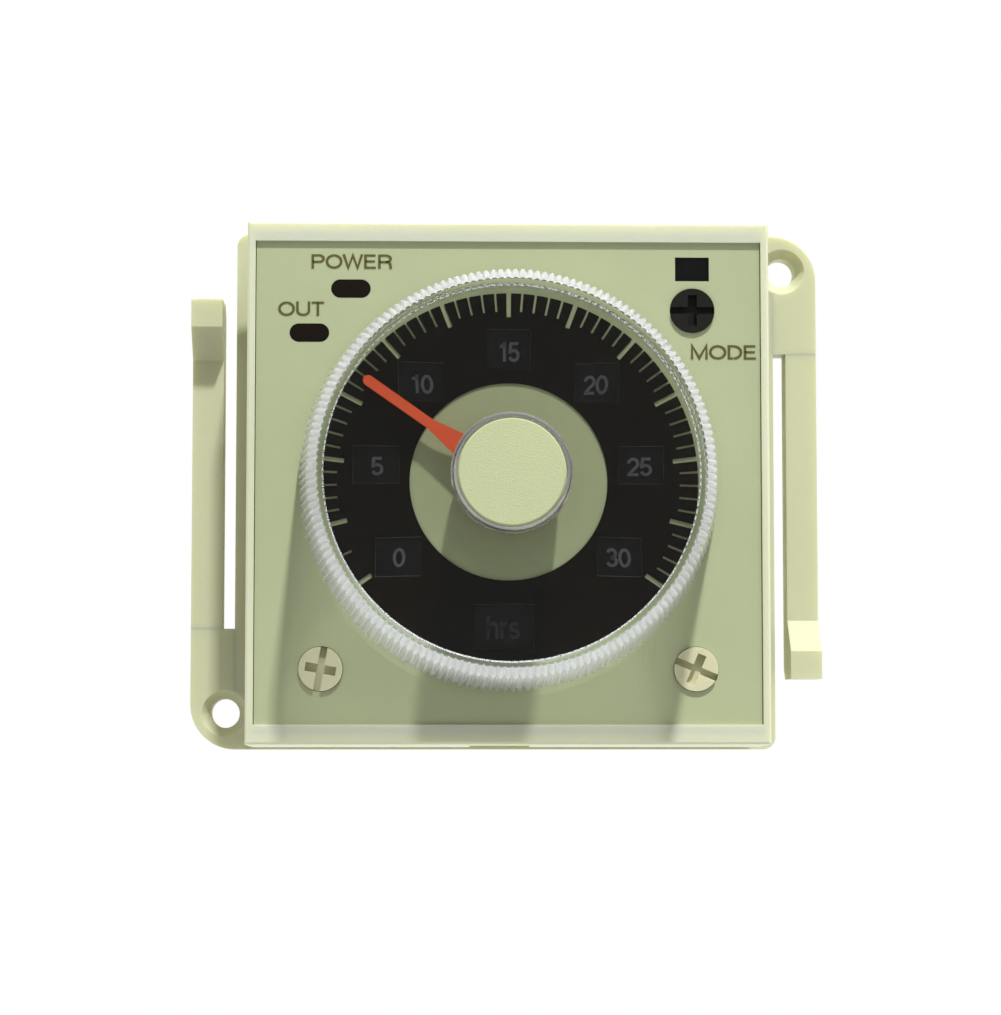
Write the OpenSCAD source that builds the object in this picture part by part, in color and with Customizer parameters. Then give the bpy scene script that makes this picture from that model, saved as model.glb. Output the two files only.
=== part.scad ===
// Panel-mounting analogue timer: a 48 mm square front with a clear setting knob over a
// printed dial, a plug-in octal base and a slide-on mounting bracket.
// Origin: on the knob's axis, in the plane where the bezel meets the panel.
// The front faces -Y, +X is to the right of a person facing it and +Z is up.

/* [Bezel and face] */
// Width and height of the square bezel
bezel_size = 48; // [47:0.2:58]
// Depth of the bezel in front of the panel
bezel_depth = 6; // [6:0.2:8]
// How far the bezel stands out past the case on each side
panel_lip = 1.6; // [1.3:0.1:2.2]
// Width of the rim at the left and right of the face
side_rim = 1; // [0.8:0.1:1.3]
// Height of the rim above and below the face
end_rim = 2.05; // [1.6:0.05:2.5]
// How far the face is sunk behind the rim
face_recess = 0.3; // [0.2:0.1:1.2]
// Thickness of the face plate
plate_t = 1; // [0.8:0.1:1.2]
// Radius of the bezel's corners
corner_r = 0.9; // [0.5:0.1:1.5]
// Chamfer around the front of the rim
rim_chamfer = 0.2; // [0.1:0.05:0.4]
// How far each side of the bezel leans in from back to front
bezel_draft = 0.28; // [0:0.02:0.4]

/* [Setting knob] */
// Radius of the knob at its base
knob_base_r = 19; // [17.8:0.2:23]
// Radius of the knob below its front chamfer
knob_shoulder_r = 18; // [17.4:0.1:18.6]
// Radius of the knob's flat front
knob_face_r = 17.1; // [16.9:0.1:17.3]
// Inside radius of the knob's skirt, at its front
knob_bore_r = 16.6; // [16.4:0.1:16.8]
// Height of the knob's front above the face
knob_height = 10.5; // [8:0.5:14]
// Gap between the knob and the face
knob_gap = 0.5; // [0.4:0.1:0.8]
// Height of the front chamfer
knob_chamfer = 1.2; // [0.8:0.1:1.6]
// Thickness of the knob's clear front
knob_front = 1.4; // [1:0.1:2]
// Radius of the knob's hub
hub_r = 5.3; // [5.1:0.1:6]
// Radius of the cap in the middle of the knob
cap_r = 4.8; // [4:0.1:5]
// Radius of the setting shaft
shaft_r = 2; // [1.6:0.1:2.4]
// Value that the pointer shows, out of full scale
set_value = 8.4; // [0:0.1:30]
// Distance of the pointer's tip from the axis
pointer_reach = 16.1; // [14:0.1:16.2]
// Width of the pointer's arm
pointer_w = 0.95; // [0.7:0.05:1.4]
// Width of the pointer at the hub
pointer_root_w = 2.4; // [1.6:0.1:3]

/* [Dial] */
// Full-scale value
scale_max = 30; // [30]
// Angle between zero and full scale, in degrees
scale_angle = 249; // [249]
// Inside radius of the black ring
dial_inner_r = 9.3; // [8:0.1:9.4]
// Outside radius of the black ring
dial_outer_r = 17.2; // [16.8:0.1:17.6]
// Thickness of the printed film
print_t = 0.12; // [0.08:0.01:0.2]
// Length of a numbered division mark
major_mark = 2.1; // [1.6:0.1:2.2]
// Length of a small division mark
minor_mark = 1.6; // [1:0.1:1.6]
// Width of a numbered division mark
major_mark_w = 0.42; // [0.3:0.02:0.6]
// Width of a small division mark
minor_mark_w = 0.2; // [0.16:0.02:0.3]
// Distance of the number windows from the axis
number_r = 12.3; // [12.1:0.1:12.5]
// Width of a number window
number_w = 4; // [3.4:0.1:4.4]
// Height of a number window
number_h = 3.5; // [3:0.1:3.7]
// Width of the unit window
unit_w = 5.5; // [5:0.1:6]
// Height of the unit window
unit_h = 3.9; // [3:0.1:4.2]
// Distance of the unit window below the axis
unit_r = 13.3; // [13:0.1:13.5]

/* [Selectors] */
// Radius of a selector's slotted head
selector_r = 2; // [1.7:0.1:2.4]
// Distance of the lower selectors from the bezel's side and bottom
selector_inset = 7.05; // [6.9:0.05:7.4]
// Distance of the mode selector from the bezel's side
mode_inset_x = 7.25; // [7:0.05:7.6]
// Distance of the mode selector from the bezel's top
mode_inset_z = 8.3; // [8:0.1:8.6]
// Radius of the part of a selector that turns in the carrier
journal_r = 1.5; // [1.2:0.1:1.6]
// Width of the long slot in a selector's head
slot_w = 0.62; // [0.5:0.02:0.8]
// Width of the short slot across it
cross_slot_w = 0.8; // [0.5:0.02:0.9]
// How far a selector's head stands out of the face
selector_proud = 0.25; // [0:0.05:0.5]
// Radius of the printed mode disc
mode_disc_r = 5.2; // [4.9:0.1:5.4]
// Wanted module of the gear teeth
tooth_module = 0.6; // [0.56:0.01:0.64]
// Teeth on a selector's pinion
pinion_teeth = 16; // [14:1:17]
// Thickness of each disc
disc_t = 0.5; // [0.4:0.05:0.6]
// Radius of the post that the discs turn on
post_r = 3.4; // [3.2:0.1:3.8]

/* [Case and plug] */
// Depth of the case behind the panel
case_depth = 64.5; // [60:0.5:80]
// Wall of the case
case_wall = 1.5; // [1.2:0.1:2]
// Thickness of the rear base
base_t = 2.5; // [2:0.1:4]
// Height of the round boss around the pins
boss_h = 2; // [1:0.5:4]
// Radius of the round boss
boss_r = 14; // [12.5:0.5:17]
// Radius of a plug pin
pin_r = 1.18; // [1:0.02:1.3]
// Radius of the circle that the pins stand on
pin_circle_r = 8.725; // [8.2:0.025:9.2]
// Length of a pin outside the boss
pin_length = 11; // [9:0.5:13]
// Radius of the key post
post_key_r = 3.9; // [3.6:0.1:4.2]
// Length of the key post outside the boss
post_key_length = 14.3; // [12:0.1:16]
// Pitch of the ratchet teeth on the case
ratchet_pitch = 1.5; // [1:0.1:2]
// Height of a ratchet tooth
ratchet_h = 0.4; // [0.3:0.05:0.6]

/* [Bracket] */
// How far the bracket's ring stands out past the case at the sides
ring_side = 2.9; // [2.6:0.1:3.5]
// How far the bracket's ring stands out past the case at the top and bottom
ring_end = 1.85; // [1.6:0.05:2.5]
// Depth of the ring
ring_depth = 12; // [10:0.5:16]
// Distance of the ring behind the bezel
bracket_y = 4; // [3:0.1:6]
// Thickness of a screw ear
ear_t = 3; // [2.5:0.1:4]
// Radius of a screw hole
screw_r = 1.35; // [1.2:0.05:1.5]
// Radius of a screw hole's mouth
screw_mouth_r = 2.15; // [1.8:0.05:2.2]
// Gap between the ring and a spring arm
arm_gap = 1.2; // [1:0.1:1.6]
// Width of a spring arm
arm_w = 2.9; // [2.5:0.1:3.5]
// Distance of an arm's free end from the middle
arm_reach = 17.7; // [15:0.1:19]
// How far an arm's foot stands out towards the panel
foot_rise = 2.5; // [2:0.1:2.8]

/* [Boards and components] */
// Thickness of the circuit boards
board_t = 1.2; // [0.8:0.1:1.6]
// Height of a selector's switch
switch_h = 3.4; // [3:0.1:4]
// Width of the setting potentiometer
pot_size = 12; // [11.5:0.5:14]
// Depth of the setting potentiometer
pot_h = 5; // [4.5:0.1:6]
// Length, width and height of the relay
relay_size = [25, 12.6, 15.5]; // [10:0.1:30]
// Length, height and thickness of the transformer's core
core_size = [20, 17, 7]; // [5:0.1:24]
// Radius of the smoothing capacitor
smoothing_r = 5; // [3:0.1:5.5]

/* [Fits] */
// Radial clearance of a shaft that turns in a bore
running = 0.05; // [0.03:0.01:0.08]
// Clearance around a pressed or glued piece
snug = 0.02; // [0.01:0.01:0.04]
// Clearance around a piece that drops into its place
loose = 0.15; // [0.1:0.01:0.2]
// Clearance between the bracket and the case
slide_gap = 0.2; // [0.15:0.05:0.3]
// Clearance between layers that turn over each other
layer_gap = 0.2; // [0.15:0.01:0.24]

/* [Hidden] */
$fn = 64;

// Case
case_size = bezel_size - 2 * panel_lip;
case_inner = case_size - 2 * case_wall;
case_corner_r = 0.8;
flange_t = 1;
case_seat = 0.3;
cavity_wall = 1.3;

// Layers from the face backwards, as Y positions of their front surfaces
face_y = face_recess - bezel_depth;
plate_back_y = face_y + plate_t;
mode_disc_y = plate_back_y + layer_gap;
number_disc_y = mode_disc_y + disc_t + layer_gap;
unit_disc_y = number_disc_y + disc_t + layer_gap;
carrier_y = unit_disc_y + disc_t + layer_gap;
carrier_back_y = 0.5 - flange_t;
switch_y = carrier_back_y + 0.1;
board_y = switch_y + switch_h;
board_back_y = board_y + board_t;
base_y = case_depth - base_t;
boss_y = case_depth + boss_h;

// Dial angles, measured anticlockwise from the top
scale_start = scale_angle / 2;
major_count = 12;
major_step = scale_angle / major_count;
minor_step = major_step / 5;
number_step = 2 * major_step;
number_count = 7;
pointer_angle = scale_start - scale_angle * set_value / scale_max;
unit_angle = -182;

// Selector places and gears
selector_at = bezel_size / 2 - selector_inset;
range_at = [-selector_at, -selector_at];
unit_at = [selector_at, -selector_at];
mode_at = [bezel_size / 2 - mode_inset_x, bezel_size / 2 - mode_inset_z];
mode_label_r = 3.8;
disc_teeth = round(2 * norm(range_at) / tooth_module) - pinion_teeth;
gear_module = 2 * norm(range_at) / (disc_teeth + pinion_teeth);
pressure_angle = 20;
tooth_relief = 0.03;
tooth_rise = 0.8;
tooth_depth = 1;
flank_steps = 4;

// Lamps
power_at = [9.65 - bezel_size / 2, bezel_size / 2 - 6.4];
out_at = [5.9 - bezel_size / 2, bezel_size / 2 - 10.45];
lens_w = 3.6;
lens_h = 1.7;
led_r = 1.4;
mode_pane_w = 3.1;
mode_pane_h = 2.2;

// Boards
board_edge = case_inner / 2 - 1.4;
board_face = board_edge - board_t;
board_half_z = 17;
board_start_y = board_back_y + 0.3;
board_end_y = base_y - 1;

// Snap tongues
tongue_w = 12;
tongue_t = 1.1;

// Ratchet strip on the case and the pawl that runs along it
ratchet_w = 6;
ratchet_start_y = 6;
ratchet_end_y = case_depth - 8;
pawl_w = 7;
pawl_slot = 0.8;

function polar(r, a) = [-r * sin(a), r * cos(a)];

function arc(r, a1, a2, steps = 24) = [for (i = [0:steps]) polar(r, a1 + (a2 - a1) * i / steps)];

// Angle that an involute flank turns through between its base circle and radius r
function involute(r, base_r) = let (a = acos(base_r / r)) tan(a) * 180 / PI - a;

// Half of a tooth's angle at radius r
function tooth_half(r, teeth) =
  let (pitch_r = gear_module * teeth / 2, base_r = pitch_r * cos(pressure_angle))
  90 / teeth - tooth_relief / pitch_r * 180 / PI
  + involute(pitch_r, base_r) - involute(max(r, base_r), base_r);

module gear_2d(teeth) {
  pitch_r = gear_module * teeth / 2;
  root = pitch_r - gear_module * tooth_depth;
  tip = pitch_r + gear_module * tooth_rise;
  polygon([
    for (i = [0:teeth - 1])
      for (side = [-1, 1])
        for (k = side < 0 ? [0:flank_steps] : [flank_steps:-1:0])
          let (r = root + (tip - root) * k / flank_steps)
          polar(r, i * 360 / teeth + side * tooth_half(r, teeth))
  ]);
}

// A flat outline, drawn as seen from the front, extruded from y[0] back to y[1]
module sheet(y) {
  translate([0, y[1], 0])
    rotate([90, 0, 0])
      linear_extrude(y[1] - y[0])
        children();
}

// A profile of [radius, height above the face], turned about the knob's axis
module turned() {
  translate([0, face_y, 0])
    rotate([90, 0, 0])
      rotate_extrude()
        children();
}

module block(x, y, z) {
  translate([x[0], y[0], z[0]])
    cube([x[1] - x[0], y[1] - y[0], z[1] - z[0]]);
}

module rod_y(r, y, at = [0, 0]) {
  translate([at[0], y[1], at[1]])
    rotate([90, 0, 0])
      cylinder(r = r, h = y[1] - y[0]);
}

module rod_x(r, x) {
  translate([x[0], 0, 0])
    rotate([0, 90, 0])
      cylinder(r = r, h = x[1] - x[0]);
}

module soft_square(w, h, r) {
  square([w - 2 * r, h], center = true);
  square([w, h - 2 * r], center = true);
  for (x = [-1, 1], z = [-1, 1])
    translate([x * (w / 2 - r), z * (h / 2 - r)])
      circle(r);
}

module stadium(w, h) {
  square([w - h, h], center = true);
  for (x = [-1, 1])
    translate([x * (w - h) / 2, 0])
      circle(h / 2);
}

module four_sides() {
  for (a = [0:90:270])
    rotate([0, a, 0])
      children();
}

module number_places() {
  for (i = [0:number_count - 1])
    translate(polar(number_r, scale_start - i * number_step))
      children();
}

module unit_place() {
  translate(polar(unit_r, unit_angle))
    children();
}

module cut_windows(gap) {
  number_places()
    square([number_w + 2 * gap, number_h + 2 * gap], center = true);
  unit_place()
    square([unit_w + 2 * gap, unit_h + 2 * gap], center = true);
}

module mode_pane_place() {
  translate(mode_at + [0, mode_label_r])
    children();
}

// Bezel and face

module front_bezel() {
  color("#e2e3c8")
    difference() {
      intersection() {
        sheet([-bezel_depth, 0])
          soft_square(bezel_size, bezel_size, corner_r);
        rim_envelope();
        rotate([0, 90, 0])
          rim_envelope();
      }
      sheet([-bezel_depth - 1, face_y + 0.1])
        square([bezel_size - 2 * side_rim, bezel_size - 2 * end_rim], center = true);
      sheet([face_y, -flange_t])
        square([bezel_size - 2 * side_rim, bezel_size - 2 * cavity_wall], center = true);
      sheet([-flange_t - 0.1, 1])
        square(case_inner, center = true);
      sheet([-case_seat, 1])
        soft_square(case_size + 2 * snug, case_size + 2 * snug, case_corner_r);
      four_sides()
        block([-tongue_w / 2 - loose, tongue_w / 2 + loose], [-flange_t - 0.1, 1],
              [case_inner / 2 - 1, case_inner / 2 + tongue_t + loose]);
      release_notch();
    }
}

module rim_envelope() {
  back = bezel_size / 2;
  front = back - bezel_draft;
  edge = front - rim_chamfer;
  translate([0, 0, -bezel_size])
    linear_extrude(2 * bezel_size)
      polygon([
        [-back, 1], [-back, 0], [-front, rim_chamfer - bezel_depth], [-edge, -bezel_depth],
        [edge, -bezel_depth], [front, rim_chamfer - bezel_depth], [back, 0], [back, 1]
      ]);
}

// Shallow notch in the underside, for a screwdriver's tip
module release_notch() {
  notch_x = -0.7;
  notch_w = 5.5;
  notch_front_y = -3.2;
  notch_depth = 0.6;
  block([notch_x - notch_w / 2, notch_x + notch_w / 2], [notch_front_y, 1],
        [-bezel_size, notch_depth - bezel_size / 2]);
}

module face_plate() {
  color("#b2bb93")
    difference() {
      sheet([face_y, plate_back_y])
        square([bezel_size - 2 * side_rim - loose, bezel_size - 2 * cavity_wall - loose],
               center = true);
      sheet([face_y - 1, plate_back_y + 1]) {
        cut_windows(0);
        mode_pane_place()
          square([mode_pane_w, mode_pane_h], center = true);
        for (at = [power_at, out_at])
          translate(at)
            stadium(lens_w, lens_h);
      }
      for (at = [range_at, unit_at, mode_at])
        rod_y(selector_r + running, [face_y - 1, plate_back_y + 1], at);
      rod_y(post_r + loose, [face_y - 1, plate_back_y + 1]);
    }
}

module scale_print() {
  color("#1e1c16")
    sheet([face_y - print_t, face_y])
      difference() {
        circle(dial_outer_r);
        circle(dial_inner_r);
        cut_windows(0);
        for (i = [0:major_count])
          mark(scale_start - i * major_step, major_mark, major_mark_w);
        mark(scale_start - major_step / 2, minor_mark, minor_mark_w);
        for (i = [1:major_count - 1], k = [1:4])
          mark(scale_start - i * major_step - k * minor_step, minor_mark, minor_mark_w);
      }
}

module mark(angle, length, width) {
  rotate(angle)
    translate([-width / 2, dial_outer_r - length])
      square([width, length + 1]);
}

module number_panes() {
  color("#2d2d2a")
    sheet([face_y, plate_back_y])
      number_places()
        square([number_w - 2 * snug, number_h - 2 * snug], center = true);
}

module unit_pane() {
  color("#2d2d2a")
    sheet([face_y, plate_back_y])
      unit_place()
        square([unit_w - 2 * snug, unit_h - 2 * snug], center = true);
}

module mode_pane() {
  color("#2d2d2a")
    sheet([face_y, plate_back_y])
      mode_pane_place()
        square([mode_pane_w - 2 * snug, mode_pane_h - 2 * snug], center = true);
}

module lens(at) {
  color("#181410")
    sheet([face_y, plate_back_y])
      translate(at)
        stadium(lens_w - 2 * snug, lens_h - 2 * snug);
}

// Setting knob, pointer, shaft and potentiometer

pointer_h = 1.6;
spigot_r = 3;
cap_depth = 1.6;
socket_top = knob_height - cap_depth - 0.6;

// The skirt's inside leans out with its outside, so that its wall keeps its thickness
module knob_shell() {
  skirt_wall = knob_shoulder_r - knob_bore_r;
  color("#dfe3da", 0.5)
    turned()
      polygon([
        [shaft_r + snug, knob_gap], [spigot_r, knob_gap], [spigot_r, pointer_h],
        [hub_r, pointer_h], [hub_r, knob_height - knob_front],
        [knob_bore_r, knob_height - knob_front], [knob_base_r - skirt_wall, knob_gap],
        [knob_base_r, knob_gap], [knob_shoulder_r, knob_height - knob_chamfer],
        [knob_face_r, knob_height], [cap_r + snug, knob_height],
        [cap_r + snug, knob_height - cap_depth], [0, knob_height - cap_depth],
        [0, socket_top], [shaft_r + snug, socket_top]
      ]);
}

module knob_cap() {
  edge = 0.2;
  color("#d2d7aa")
    turned()
      polygon([
        [0, knob_height - cap_depth], [cap_r, knob_height - cap_depth],
        [cap_r, knob_height - edge - 0.05], [cap_r - edge, knob_height - 0.05],
        [0, knob_height - 0.05]
      ]);
}

module pointer() {
  flare_end = 9;
  arm_h = 0.5;
  arm_y = face_y - pointer_h;
  color("#c84b2d") {
    difference() {
      rod_y(hub_r - 0.3, [arm_y, arm_y + arm_h]);
      rod_y(spigot_r + snug, [arm_y - 1, arm_y + 1]);
    }
    sheet([arm_y, arm_y + arm_h])
      rotate(pointer_angle) {
        polygon([
          [-pointer_root_w / 2, hub_r - 1], [pointer_root_w / 2, hub_r - 1],
          [pointer_root_w / 2, hub_r], [pointer_w / 2, flare_end],
          [pointer_w / 2, pointer_reach - pointer_w / 2],
          [-pointer_w / 2, pointer_reach - pointer_w / 2],
          [-pointer_w / 2, flare_end], [-pointer_root_w / 2, hub_r]
        ]);
        translate([0, pointer_reach - pointer_w / 2])
          circle(pointer_w / 2);
      }
  }
}

wiper_y = board_back_y + 1.2;
track_y = board_back_y + pot_h - 1.2;

module setting_shaft() {
  color("#b8b8b0")
    rod_y(shaft_r, [face_y - socket_top, track_y - 0.5]);
}

module pot_wiper() {
  color("#c9a24a")
    difference() {
      union() {
        rod_y(pot_size / 2 - 1.5, [wiper_y, wiper_y + 0.5]);
        rod_y(shaft_r + 1.2, [wiper_y, track_y - 0.5]);
        rod_y(0.6, [wiper_y, track_y - 0.1], [0, pot_size / 2 - 2.2]);
      }
      rod_y(shaft_r + snug, [wiper_y - 1, track_y + 1]);
    }
}

module pot_body() {
  bushing_r = shaft_r + 1.1;
  color("#3a5a8c")
    difference() {
      union() {
        sheet([board_back_y, board_back_y + pot_h])
          square(pot_size, center = true);
        rod_y(bushing_r, [carrier_back_y + 0.2, board_back_y + 0.1]);
      }
      rod_y(pot_size / 2 - 1, [board_back_y + 0.8, board_back_y + pot_h - 0.8]);
      rod_y(shaft_r + running, [carrier_back_y - 1, board_back_y + 1]);
    }
}

module pot_track() {
  color("#26221e")
    difference() {
      rod_y(pot_size / 2 - 1, [track_y, track_y + 0.4]);
      rod_y(pot_size / 2 - 3.2, [track_y - 1, track_y + 1]);
    }
}

// Selectors, discs and carrier

module slotted_head(at, turn) {
  long_slot = 2 * selector_r + 1;
  cross_slot = 1.4 * selector_r;
  head_y = face_y - selector_proud;
  slot_depth = 0.7;
  difference() {
    rod_y(selector_r, [head_y, plate_back_y + 0.1], at);
    translate([at[0], 0, at[1]])
      sheet([head_y - 1, head_y + slot_depth])
        rotate(turn) {
          square([slot_w, long_slot], center = true);
          square([cross_slot, cross_slot_w], center = true);
        }
  }
}

module selector_body(at) {
  rod_y(journal_r, [plate_back_y, switch_y + switch_h - 0.6], at);
}

// Pinion of a lower selector, turned so that a gap faces the disc's tooth
module pinion(at, layer_y) {
  towards_disc = atan2(at[0], -at[1]);
  translate([at[0], 0, at[1]])
    sheet([layer_y, layer_y + disc_t])
      rotate(towards_disc + 180 / pinion_teeth)
        gear_2d(pinion_teeth);
}

module range_selector() {
  color("#d7d7b4") {
    slotted_head(range_at, -10);
    selector_body(range_at);
    pinion(range_at, number_disc_y);
  }
}

module unit_selector() {
  color("#d7d7b4") {
    slotted_head(unit_at, 67);
    selector_body(unit_at);
    pinion(unit_at, unit_disc_y);
  }
}

module mode_selector() {
  color("#1c1b18") {
    slotted_head(mode_at, 90);
    selector_body(mode_at);
  }
}

module mode_disc() {
  color("#1f1e1b")
    difference() {
      rod_y(mode_disc_r, [mode_disc_y, mode_disc_y + disc_t], mode_at);
      rod_y(journal_r + snug, [mode_disc_y - 1, mode_disc_y + 1], mode_at);
    }
}

module dial_disc(layer_y, phase, collar) {
  sheet([layer_y, layer_y + disc_t])
    difference() {
      rotate(phase)
        gear_2d(disc_teeth);
      circle(post_r + running);
      children();
    }
  difference() {
    rod_y(post_r + 1, [layer_y - collar, layer_y + 0.1]);
    rod_y(post_r + running, [layer_y - 1, layer_y + 1]);
  }
}

module arc_slot(r1, r2, a1, a2) {
  polygon(concat(arc(r1, a1, a2), arc(r2, a2, a1)));
}

// The slot lets the unit disc show through at both settings of the number disc
module number_disc() {
  slot_margin = 15.5;
  color("#1f1e1b")
    dial_disc(number_disc_y, atan2(-range_at[0], range_at[1]), 0.05)
      arc_slot(unit_r - unit_h / 2 - 0.4, unit_r + unit_h / 2 + 0.6,
               unit_angle - major_step - slot_margin, unit_angle + slot_margin);
}

module unit_disc() {
  color("#1f1e1b")
    dial_disc(unit_disc_y, atan2(-unit_at[0], unit_at[1]), layer_gap - 0.05);
}

clip_y = number_disc_y - 0.15;
clip_t = 0.35;

module disc_clip() {
  color("#a8a9a4")
    sheet([clip_y - clip_t, clip_y])
      difference() {
        circle(post_r + 1);
        circle(post_r - 0.3 + snug);
        translate([-post_r / 2, 0])
          square([post_r, 2 * post_r]);
      }
}

module dial_carrier() {
  lip_size = case_inner + 1.6;
  plate_size = case_inner - 2 * loose;
  pillar_at = case_inner / 2 - 2.6;
  color("#8f927c")
    difference() {
      union() {
        sheet([carrier_y, -flange_t])
          difference() {
            square(lip_size, center = true);
            for (a = [0:90:270])
              rotate(a)
                translate([-tongue_w / 2 - loose, case_inner / 2 - loose])
                  square([tongue_w + 2 * loose, 3]);
          }
        sheet([-flange_t, carrier_back_y])
          square(plate_size, center = true);
        rod_y(post_r, [clip_y - clip_t - 0.1, carrier_y]);
        rod_y(post_r + 1, [carrier_y - layer_gap + 0.05, carrier_y + 0.1]);
        four_sides() {
          rod_y(1.2, [carrier_back_y - 0.1, board_y], [0, pillar_at]);
          rod_y(0.8, [board_y - 0.1, board_back_y], [0, pillar_at]);
        }
      }
      difference() {
        rod_y(post_r + 0.1, [clip_y - clip_t, clip_y]);
        rod_y(post_r - 0.3, [clip_y - clip_t - 1, clip_y + 1]);
      }
      rod_y(shaft_r + loose, [face_y, carrier_back_y + 1]);
      for (at = [range_at, unit_at, mode_at])
        rod_y(journal_r + running, [carrier_y - 1, carrier_back_y + 1], at);
      for (at = [power_at, out_at])
        rod_y(led_r + loose, [carrier_y - 1, carrier_back_y + 1], at);
    }
}

module selector_switch(at) {
  color("#2b2b2b")
    difference() {
      rod_y(journal_r + 1.2, [switch_y, switch_y + switch_h], at);
      rod_y(journal_r + running, [switch_y - 1, switch_y + switch_h - 0.4], at);
    }
}

// Boards and components

module front_board() {
  pillar_at = case_inner / 2 - 2.6;
  color("#3d7a4a")
    difference() {
      sheet([board_y, board_back_y])
        square(case_inner - 4 * loose, center = true);
      rod_y(shaft_r + 1.1 + snug, [board_y - 1, board_back_y + 1]);
      four_sides()
        rod_y(0.8 + snug, [board_y - 1, board_back_y + 1], [0, pillar_at]);
      link_places()
        cube([link_w + 2 * snug, 20, link_w + 2 * snug], center = true);
    }
}

link_w = 0.6;
link_count = 6;
link_pitch = 4;

module link_places() {
  for (x = [-1, 1], i = [0:link_count - 1])
    translate([x * (board_face - link_w / 2), board_y, (i - (link_count - 1) / 2) * link_pitch])
      children();
}

module link_pins() {
  color("#c9a24a")
    link_places()
      translate([-link_w / 2, -0.6, -link_w / 2])
        cube([link_w, board_t + 5, link_w]);
}

module led(at) {
  dome_y = plate_back_y + 0.3;
  color("#c8372d") {
    rod_y(led_r, [dome_y + led_r, board_y], at);
    translate([at[0], dome_y + led_r, at[1]])
      sphere(led_r);
    rod_y(led_r + 0.2, [board_y - 0.8, board_y], at);
  }
}

module side_board(side) {
  x = side < 0 ? [-board_edge, -board_face] : [board_face, board_edge];
  color("#3d7a4a")
    block(x, [board_start_y, board_end_y], [-board_half_z, board_half_z]);
}

// Relay, on the left board: X is the height above the board, Y runs along the relay
relay_at = [-board_face, board_back_y + 27, -8.6];
relay_wall = 0.6;
relay_axis_h = 7.5;
blade_z = [3, 5.4];

module relay_place() {
  translate(relay_at)
    children();
}

module relay_base() {
  half = relay_size[1] / 2;
  color("#2a2a2a")
    relay_place()
      difference() {
        block([0, 2], [0, relay_size[0]], [-half, half]);
        contact_blades(snug, 5);
      }
}

module relay_cover() {
  half = relay_size[1] / 2;
  w = relay_wall;
  color("#b9c7cf", 0.5)
    relay_place()
      difference() {
        block([2, relay_size[2]], [0, relay_size[0]], [-half, half]);
        block([1, relay_size[2] - w], [w, relay_size[0] - w], [w - half, half - w]);
      }
}

module relay_coil() {
  color("#b5642a")
    relay_place()
      translate([relay_axis_h, 0, 0])
        difference() {
          union() {
            rod_y(4.2, [2.5, 17.5]);
            rod_y(4.8, [2.5, 3.3]);
            rod_y(4.8, [16.7, 17.5]);
          }
          rod_y(2 + snug, [0, 20]);
        }
}

module relay_yoke() {
  color("#9a9c9c")
    relay_place() {
      block([2, 13.9], [1, 2.2], [-4.5, 4.5]);
      block([12.7, 13.9], [1, 18.7], [-4.5, 4.5]);
      translate([relay_axis_h, 0, 0]) {
        rod_y(2, [2, 18.1]);
        rod_y(2.5, [18, 18.4]);
      }
    }
}

module relay_armature() {
  color("#8b8d8d")
    relay_place()
      block([3.2, 13.3], [19, 20], [-2.7, 2.7]);
}

module relay_card() {
  color("#e6e2d2")
    relay_place()
      block([9, 11], [20, 20.6], [-blade_z[1], blade_z[1]]);
}

module relay_blades() {
  contact_h = 3.8;
  color("#c9a24a")
    relay_place()
      for (side = [-1, 1])
        scale([1, 1, side]) {
          block([3, 12], [20.6, 20.9], blade_z);
          translate([contact_h, 0, (blade_z[0] + blade_z[1]) / 2])
            rod_y(0.6, [20.45, 21.05]);
        }
}

module contact_blades(gap, top) {
  for (side = [-1, 1], y = [[19.35, 19.85], [21.2, 21.7]])
    scale([1, 1, side])
      block([0, top], y + [-gap, gap], blade_z + [-gap, gap]);
}

module relay_contacts() {
  color("#c9a24a")
    relay_place()
      contact_blades(0, 4.8);
}

chip_at = [board_back_y + 20, 8];
chip_length = 19.3;
chip_w = 6.4;

module timing_chip() {
  color("#1d1d1d")
    block([-board_face + 0.6, -board_face + 3.8], [chip_at[0], chip_at[0] + chip_length],
          [chip_at[1] - chip_w / 2, chip_at[1] + chip_w / 2]);
}

module chip_legs() {
  legs_per_side = 8;
  leg_pitch = 2.54;
  first = chip_at[0] + (chip_length - (legs_per_side - 1) * leg_pitch) / 2;
  color("#b8b8b0")
    for (side = [-1, 1], i = [0:legs_per_side - 1])
      translate([0, first + i * leg_pitch, chip_at[1]])
        scale([1, 1, side])
          block([-board_face, -board_face + 2.2], [-0.25, 0.25], [chip_w / 2, chip_w / 2 + 0.5]);
}

module driver_transistor() {
  can_r = 2.2;
  color("#1d1d1d")
    translate([0, board_back_y + 13, -6])
      difference() {
        rod_x(can_r, [-board_face, -board_face + 5]);
        block([-board_face - 1, -board_face + 6], [-can_r, can_r], [1.3, can_r + 1]);
      }
}

module axial_part(at, r, length) {
  translate([0, at[0], at[1]]) {
    translate([0, -length / 2, 0])
      rod_y(r, [0, length], [at[2], 0]);
  }
}

module resistors() {
  body_r = 1.1;
  color("#c7b48a")
    for (i = [0:3])
      axial_part([board_back_y + 46, 2 + 3.4 * i, body_r - board_face], body_r, 6.2);
}

module diodes() {
  body_r = 1.3;
  color("#2a2a2a")
    for (i = [0:3])
      axial_part([board_back_y + 12, -9 + 4 * i, board_face - body_r], body_r, 5);
}

module smoothing_capacitor() {
  color("#2f3a55")
    translate([0, board_back_y + 46, 8])
      rod_x(smoothing_r, [board_face - 12.5, board_face]);
}

module film_capacitor() {
  color("#a8392e")
    block([board_face - 10.5, board_face], [board_back_y + 20, board_back_y + 33], [-14.5, -9.5]);
}

module varistor() {
  color("#3f6fa8")
    translate([board_face - 4.5, 0, -8])
      rod_y(4.5, [board_back_y + 40, board_back_y + 43.5]);
}

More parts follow.
